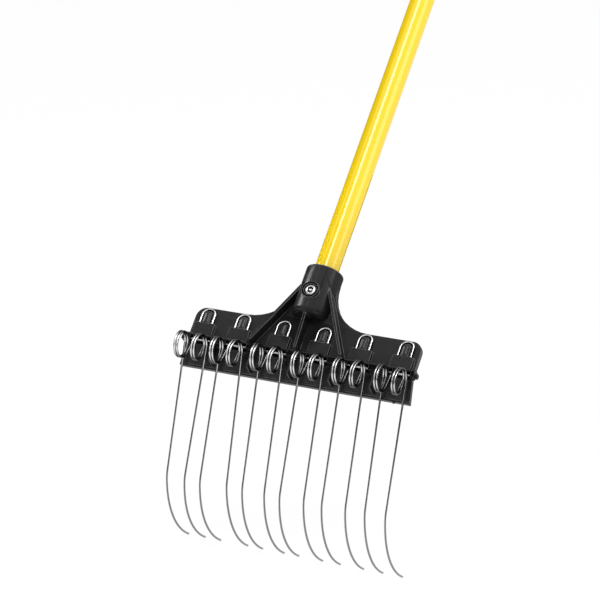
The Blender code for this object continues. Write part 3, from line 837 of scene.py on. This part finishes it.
# %% Retaining rod
ROD_Y = SEAT_Y - 2 * WIRE_RADIUS - CLEARANCE
ROD_Z = ELBOW_HEIGHT + WIRE_RADIUS + CLEARANCE
rod_low, rod_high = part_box("retaining_rod")
rod_line = np.linspace((rod_low.x, ROD_Y, ROD_Z), (rod_high.x, ROD_Y, ROD_Z), 40)
rod, rod_length = wire_object("spring_rod", rod_line, ACROSS_Y, True, True, ROD_STEEL)
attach(rod, "rake")
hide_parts("retaining_rod")
print(f"rod {rod_length * 1000:.1f} mm long")

# %% [markdown]
# ## The moulded head
#
# The head's shape is already right in the CAD: plate, skirt, ledge, gussets, blocks and socket. A
# real moulding has no sharp edges, though, and the thin bright lines along its ribs are the light
# in its small edge roundings. So a copy of the CAD mesh is merged, its flat triangles are joined
# into whole faces, and a Bevel rounds its edges.

# %% Head moulding
EDGE_ROUND = 0.00045


def head_copy(name):
    """The CAD head as its own mesh: doubles merged, flat faces joined."""
    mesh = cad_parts["rake_head"].data.copy()
    mesh.name = name
    merged(mesh, 1e-6, flatten=True)
    mesh.materials.clear()
    mesh.materials.append(BLACK)
    mesh.materials.append(BLACK_EDGE)
    mesh.shade_smooth()
    made = bpy.data.objects.new(name, mesh)
    bpy.context.scene.collection.objects.link(made)
    return made


head = head_copy("head_moulding")
bevel = head.modifiers.new("edge_rounding", "BEVEL")
bevel.limit_method = "ANGLE"
bevel.angle_limit = math.radians(28)
bevel.width = EDGE_ROUND
bevel.segments = 2
bevel.use_clamp_overlap = False
bevel.harden_normals = True
# The rounded faces take the edge finish, with its painted highlight.
bevel.material = 1
weigh = head.modifiers.new("even_shading", "WEIGHTED_NORMAL")
weigh.keep_sharp = True
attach(head, "rake")
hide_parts("rake_head")
print("head:", len(head.data.polygons), "faces before its edges are rounded")

# %% [markdown]
# ## The handle
#
# The CAD handle has thirty-two flats. The real tube is round and shines, and a highlight shows any
# flat, so it is turned again here with many more sides. The streaks in its finish need the UV map
# that comes with the turned surface.

# %% Handle
HANDLE_RADIUS = 0.0131
HANDLE_WALL = 0.0030
HANDLE_FOOT = 0.0643
HANDLE_LENGTH = 1.3720
HANDLE_TOP = HANDLE_FOOT + HANDLE_LENGTH
EDGE_BREAK = 0.0004


def turned_object(name, profile, material, sides, centre=(0.0, 0.0, 0.0)):
    """A turned piece about an upright axis through the centre. A closed profile needs no caps."""
    profile = np.asarray(profile, float)
    rings = turned_rings(profile, sides) + np.array(centre)
    made = grid_object(name, leaned(rings), run_lengths(profile), material, capped=False)
    merged(made.data, 1e-7)
    made.data.shade_smooth()
    made.data.set_sharp_from_angle(angle=math.radians(40))
    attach(made, "rake")
    return made


bore = HANDLE_RADIUS - HANDLE_WALL
side_foot = (HANDLE_RADIUS, HANDLE_FOOT + EDGE_BREAK)
side_top = (HANDLE_RADIUS, HANDLE_TOP - EDGE_BREAK)
outside = np.linspace(side_foot, side_top, 60)
tube = [(bore, HANDLE_FOOT), (HANDLE_RADIUS - EDGE_BREAK, HANDLE_FOOT)] + outside.tolist()
tube += [(HANDLE_RADIUS - EDGE_BREAK, HANDLE_TOP), (bore, HANDLE_TOP), (bore, HANDLE_FOOT)]
shaft = turned_object("handle_shaft", tube, YELLOW, 96)
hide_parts("handle_tube")
print(f"handle {2000 * HANDLE_RADIUS:.1f} mm across and {HANDLE_TOP - HANDLE_FOOT:.3f} m long")

# %% [markdown]
# ## Crowned bosses inside the loops
#
# Each anchor loop lies round a boss on the plate. Its face is not flat: it rises like a hipped roof
# to a ridge up the middle, so one side of it catches the light and the other does not. The height
# over a boss grows with the distance from its outline, which is how a roof of even pitch is drawn.

# %% Boss crowns
CROWN_INSET = 0.0005
BOSS_MARGIN = 0.0018
BOSS_HALF = LEG_SPREAD - WIRE_RADIUS - BOSS_MARGIN - CROWN_INSET
BOSS_LOW = 0.0345
BOSS_HIGH = LOOP_TOP - WIRE_RADIUS - BOSS_MARGIN - CROWN_INSET
BOSS_FACE = 0.0034
CROWN_ROOT = 0.0002
CROWN_RISE = 0.0011
CROWN_STEPS = 8


def crown_rings():
    """Rings from the outline in to the ridge. The ridge point of an outline point has the same
    height, kept between the ends of the ridge. At share s of the way in, the point is
    outline * (1 - s) + ridge * s, and it has risen by sin(90 degrees * s) of the whole rise."""
    arch = arc_points((0.0, BOSS_HIGH - BOSS_HALF), BOSS_HALF, 0, 180, 24)
    left = np.linspace((-BOSS_HALF, BOSS_HIGH - BOSS_HALF), (-BOSS_HALF, BOSS_LOW), 12)[1:]
    base = np.linspace((-BOSS_HALF, BOSS_LOW), (BOSS_HALF, BOSS_LOW), 12)[1:]
    side = np.linspace((BOSS_HALF, BOSS_LOW), (BOSS_HALF, BOSS_HIGH - BOSS_HALF), 12)[1:-1]
    outline = np.concatenate([arch, left, base, side])
    ridge = np.stack([
        np.zeros(len(outline)),
        np.clip(outline[:, 1], BOSS_LOW + BOSS_HALF, BOSS_HIGH - BOSS_HALF),
    ], axis=-1)
    share = np.linspace(0, 1, CROWN_STEPS + 1)[:, None, None]
    front = outline * (1 - share) + ridge * share
    proud = BOSS_FACE - CROWN_ROOT + CROWN_RISE * np.sin(share * np.pi / 2)
    proud = np.broadcast_to(proud, front[..., :1].shape)
    front = np.concatenate([front[..., :1], -proud, front[..., 1:]], axis=-1)
    back = front[0] + (0, CROWN_ROOT, 0)
    middle = np.broadcast_to(back.mean(axis=0), back.shape)
    return np.concatenate([middle[None], back[None], front])


for index, middle_x in enumerate(STATION_X):
    rings = leaned(moved(crown_rings(), middle_x))
    lengths = np.arange(len(rings)) * 0.001
    crown = grid_object(f"boss_crown_{index + 1}", rings, lengths, BLACK, capped=False)
    merged(crown.data, 1e-6)
    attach(crown, "rake")
print("crowned", len(STATION_X), "bosses")

# %% [markdown]
# ## The gate mark
#
# A small nub is left under the skirt's right end, where the runner that fed the moulding was cut
# off. It is a low dome, turned about an upright axis.

# %% Gate mark
GATE_X = 0.1190
GATE_Y = 0.0090
GATE_Z = -0.0122
nub = [(0.0, 0.0), (0.0017, 0.0)] + arc_points((0.0, -0.0006), 0.0017, 0, -90, 8).tolist()
gate = turned_object("gate_mark", nub, BLACK, 32, (GATE_X, GATE_Y, GATE_Z))
print("gate mark:", len(gate.data.polygons), "faces")

# %% [markdown]
# ## The cap at the top of the handle
#
# A soft rubber cup is pushed over the tube's end. The photograph stops below it, so it is a plain
# one: a thin wall, a rounded end and a rolled lip, turned like the handle.

# %% Handle cap
CAP_WALL = 0.0020
CAP_LENGTH = 0.0420
CAP_THICK = 0.0040
LIP_ROUND = 0.0007
END_ROUND = 0.0030
CAP_INNER = HANDLE_RADIUS + CLEARANCE
CAP_OUTER = CAP_INNER + CAP_WALL
CAP_MOUTH = HANDLE_TOP - CAP_LENGTH
CAP_SEAT = HANDLE_TOP + CLEARANCE
CAP_END = CAP_SEAT + CAP_THICK
lip = arc_points((CAP_OUTER - LIP_ROUND, CAP_MOUTH + LIP_ROUND), LIP_ROUND, -90, 0, 6).tolist()
end = arc_points((CAP_OUTER - END_ROUND, CAP_END - END_ROUND), END_ROUND, 0, 90, 12).tolist()
inside = [(0.0, CAP_SEAT), (CAP_INNER, CAP_SEAT), (CAP_INNER, CAP_MOUTH)]
cup = inside + lip + end + [(0.0, CAP_END)]
cap = turned_object("end_cap", cup, RUBBER, 96)
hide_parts("handle_cap")
print(f"cap {2000 * CAP_OUTER:.1f} mm across")

# %% [markdown]
# ## The screw
#
# One pan-head screw locks the handle in its socket. Seen from the front it is a bright ring round
# a dark socket with a bright floor, down in a dark counterbore. The socket has six flats, so its
# edge is not a circle: the radius there is the flat's distance divided by the cosine of the angle
# from the middle of the flat.

# %% Socket screw
SCREW_HEIGHT = 0.0846
BOSS_FRONT = 0.0225
SEAT_DEPTH = 0.0040
SCREW_FRONT = BOSS_FRONT - SEAT_DEPTH + CLEARANCE
SCREW_HEAD = 0.0060
SCREW_HEAD_HEIGHT = 0.0028
SCREW_SHANK = 0.0024
SCREW_LENGTH = 0.0180
SCREW_TIP = SCREW_FRONT - CLEARANCE - SCREW_LENGTH
PAN_ROUND = 0.0014
POINT_LENGTH = 0.0048
SOCKET_FLAT = 0.0031
SOCKET_DEPTH = 0.0014
PIN_RADIUS = 0.0012
PIN_TOP = 0.0004


def screw_rings(sides=96):
    """Rings from the socket's floor out over the head and down the shank. The inner rings are
    hexagons, and the others are circles."""
    top = SCREW_FRONT + SCREW_HEAD_HEIGHT
    pan = arc_points((SCREW_HEAD - PAN_ROUND, top - PAN_ROUND), PAN_ROUND, 90, 0, 8)
    angle = 2 * np.pi * np.arange(sides) / sides
    hexagon = SOCKET_FLAT / np.cos((angle + np.pi / 6) % (np.pi / 3) - np.pi / 6)
    floor = top - SOCKET_DEPTH
    pin = [(0.0002, PIN_TOP), (PIN_RADIUS - 0.0002, PIN_TOP), (PIN_RADIUS, PIN_TOP + 0.0002)]
    pin += [(PIN_RADIUS, SOCKET_DEPTH)]
    rows = [(np.full(sides, radius), top - down) for radius, down in pin]
    rows += [(hexagon * 0.94, floor), (hexagon, floor + 0.0001)]
    rows += [(hexagon, top - 0.00015), (hexagon + 0.00015, top)]
    rows += [(np.full(sides, radius), height) for radius, height in pan]
    ends = [(SCREW_HEAD, SCREW_FRONT), (SCREW_SHANK, SCREW_FRONT)]
    ends += [(SCREW_SHANK, SCREW_TIP + POINT_LENGTH), (0.0008, SCREW_TIP)]
    rows += [(np.full(sides, radius), height) for radius, height in ends]
    radii = np.stack([radius for radius, _ in rows])
    heights = np.array([height for _, height in rows])
    x = radii * np.cos(angle)
    y = radii * np.sin(angle)
    rings = np.stack([x, np.broadcast_to(-heights[:, None], x.shape), SCREW_HEIGHT + y], axis=-1)
    return rings, radii.mean(axis=1)


rings, ring_radii = screw_rings()
screw = grid_object("head_screw", leaned(rings), ring_radii, ZINC)
screw.data.flip_normals()
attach(screw, "rake")
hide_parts("socket_screw")
print(f"screw head {2000 * SCREW_HEAD:.1f} mm across")

# %% [markdown]
# ## Nodes that stay as the CAD made them
#
# The wooden plug is hidden inside the handle's foot. It keeps its own shape and only gets its
# finish.

# %% Core plug
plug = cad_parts["core_plug"]
plug.data.materials.clear()
plug.data.materials.append(WOOD)
print("plug finished")

# %% [markdown]
# ## Floor, background and light
#
# The picture is a studio one on white. The floor is a plain pale sheet that keeps the rake's
# shadow, and both it and the world are white to the camera and in reflections. Four soft lamps do
# the rest: one above, one to the right, a fill low on the right, and a small narrow one on the
# left that only gives the socket its sheen. Most of the light comes from the right.

# %% Floor
PAPER_WHITE = 1.03
WHITE = grey(1.0)


def seen_rays(tree):
    """1 for what the camera and reflections see, and 0 for the light that falls on things."""
    path = tree.nodes.new("ShaderNodeLightPath").outputs
    return sum(Flow(tree, path[f"Is {ray} Ray"]) for ray in ("Camera", "Glossy", "Transmission"))


def stage_finish(name, shade, glow):
    """A pale sheet, partly its own white for what the camera and reflections see."""
    material, tree = new_finish(name)
    seen = seen_rays(tree)
    paper = Flow.node(tree, "ShaderNodeBsdfDiffuse", None, {"Color": grey(shade)})
    inputs = {"Color": WHITE, "Strength": PAPER_WHITE}
    white = Flow.node(tree, "ShaderNodeEmission", None, inputs)
    both = Flow.node(tree, "ShaderNodeMixShader", None, {0: seen * glow, 1: paper, 2: white})
    out = tree.nodes.new("ShaderNodeOutputMaterial")
    tree.links.new(both.socket, out.inputs["Surface"])
    return material


FLOOR_REACH = 30
FLOOR_GAP = 0.0005
WAYS = ((-1, -1), (1, -1), (1, 1), (-1, 1))
floor_level = cad_box[0][2] - FLOOR_GAP
floor_mesh = bpy.data.meshes.new("floor")
floor_corners = [(a * FLOOR_REACH, b * FLOOR_REACH, floor_level) for a, b in WAYS]
floor_mesh.from_pydata(floor_corners, [], [(0, 1, 2, 3)])
floor_mesh.materials.append(stage_finish("pale_floor", shade=0.97, glow=0.88))
floor = bpy.data.objects.new("floor", floor_mesh)
bpy.context.scene.collection.objects.link(floor)
print(f"floor at {floor_level:.4f}")

# %% World
world = bpy.data.worlds.new("studio")
bpy.context.scene.world = world
world.use_nodes = True
tree = world.node_tree
tree.nodes.clear()
ROOM_LIGHT = 0.6
strength = seen_rays(tree) * (1 - ROOM_LIGHT) + ROOM_LIGHT
glow = Flow.node(tree, "ShaderNodeBackground", None, {"Color": WHITE, "Strength": strength})
out = tree.nodes.new("ShaderNodeOutputWorld")
tree.links.new(glow.socket, out.inputs["Surface"])
print("world set")

# %% Lamps
def softbox(name, aim_at, direction, distance, width, height, radiance, spread=180):
    """A lamp that direction from the point, facing it. Its watts give the brightness of its face:
    power = radiance * pi * area. A spread under 180 degrees narrows its beam like a grid, and
    makes it brighter straight ahead."""
    data = bpy.data.lights.new(name, "AREA")
    data.shape = "RECTANGLE"
    data.size = width
    data.size_y = height
    data.energy = radiance * math.pi * width * height
    data.spread = math.radians(spread)
    lamp = bpy.data.objects.new(name, data)
    offset = Vector(direction).normalized()
    lamp.location = aim_at + offset * distance
    lamp.rotation_euler = offset.to_track_quat("Z", "Y").to_euler()
    lamp.visible_camera = False
    bpy.context.scene.collection.objects.link(lamp)
    return data.energy


HANDLE_AIM = Vector(leaned((0.0, 0.0, 0.40)))
LEFT_AIM = Vector(leaned((0.0, 0.0, -0.02)))
FROM_RIGHT = (0.86, 0.10, 0.50)
FROM_LEFT = (-0.866, 0.01, 0.50)
LAMP_DISTANCE = 2.4
powers = [
    softbox("lamp_above", HANDLE_AIM, (0.03, -0.40, 0.92), LAMP_DISTANCE,
            width=0.75, height=1.5, radiance=6.5),
    softbox("lamp_right", HANDLE_AIM, FROM_RIGHT, LAMP_DISTANCE,
            width=0.85, height=1.4, radiance=1.8),
    softbox("lamp_fill", HANDLE_AIM, (0.90, -0.38, 0.22), LAMP_DISTANCE,
            width=1.0, height=1.0, radiance=3.7),
    softbox("lamp_left", LEFT_AIM, FROM_LEFT, distance=0.6,
            width=0.34, height=0.30, radiance=0.33, spread=30),
]
print("lamps:", [round(power, 1) for power in powers], "W")

# %% [markdown]
# ## Black cards
#
# Bright metal on a white background looks like nothing until something dark is near it. A
# photographer stands black cards just out of the picture, and they give wires and gloss their
# dark edges. The cards are seen only in reflections, but one of them, the flag on the right, also
# keeps that lamp's light off the plate and the tines' upper parts.

# %% Black cards
def black_sheet(name, corners):
    """A flat dark sheet that only reflections can see."""
    material, tree = new_finish(name)
    dark = Flow.node(tree, "ShaderNodeBsdfDiffuse", None, {"Color": grey(0.01)})
    out = tree.nodes.new("ShaderNodeOutputMaterial")
    tree.links.new(dark.socket, out.inputs["Surface"])
    mesh = bpy.data.meshes.new(name)
    mesh.from_pydata(corners, [], [(0, 1, 2, 3)])
    mesh.materials.append(material)
    sheet = bpy.data.objects.new(name, mesh)
    bpy.context.scene.collection.objects.link(sheet)
    sheet.visible_camera = False
    sheet.visible_diffuse = False
    sheet.visible_shadow = False
    sheet.visible_transmission = False
    return sheet


def black_card(name, direction, distance, width, height):
    """A sheet that faces the head from that direction."""
    offset = Vector(direction).normalized()
    turn = offset.to_track_quat("Z", "Y")
    centre = HEAD_CENTRE + offset * distance
    corners = [centre + turn @ Vector((a * width / 2, b * height / 2, 0)) for a, b in WAYS]
    black_sheet(name, corners)


def long_card(name, direction, distance, low, high, half_width, shades):
    """A card along the handle's axis, between two heights of the upright rake. It is mirrored in
    what faces it, and it can also keep a lamp's light off that."""
    towards_lamp = Vector(direction).normalized()
    side = towards_lamp.cross(Vector(HANDLE_AXIS)).normalized() * half_width
    foot, top = (
        Vector(leaned((0.0, 0.0, height))) + towards_lamp * distance for height in (low, high)
    )
    card = black_sheet(name, [foot - side, foot + side, top + side, top - side])
    card.visible_shadow = shades


black_card("card_left", (-1.0, 0.10, 0.15), distance=1.6, width=3.0, height=2.2)
black_card("card_front", (-0.35, -0.95, 0.10), distance=2.2, width=1.8, height=1.2)
black_card("card_above", (-0.34, -0.33, 0.85), distance=1.5, width=0.52, height=0.75)
long_card("flag_right", FROM_RIGHT, 0.24, low=-0.20, high=0.058, half_width=0.15, shades=True)
long_card("card_handle", FROM_LEFT, 0.060, low=0.119, high=1.600, half_width=0.031, shades=False)
black_card("card_back", (-0.15, 0.95, -0.25), distance=0.55, width=0.6, height=0.3)
print("cards set")
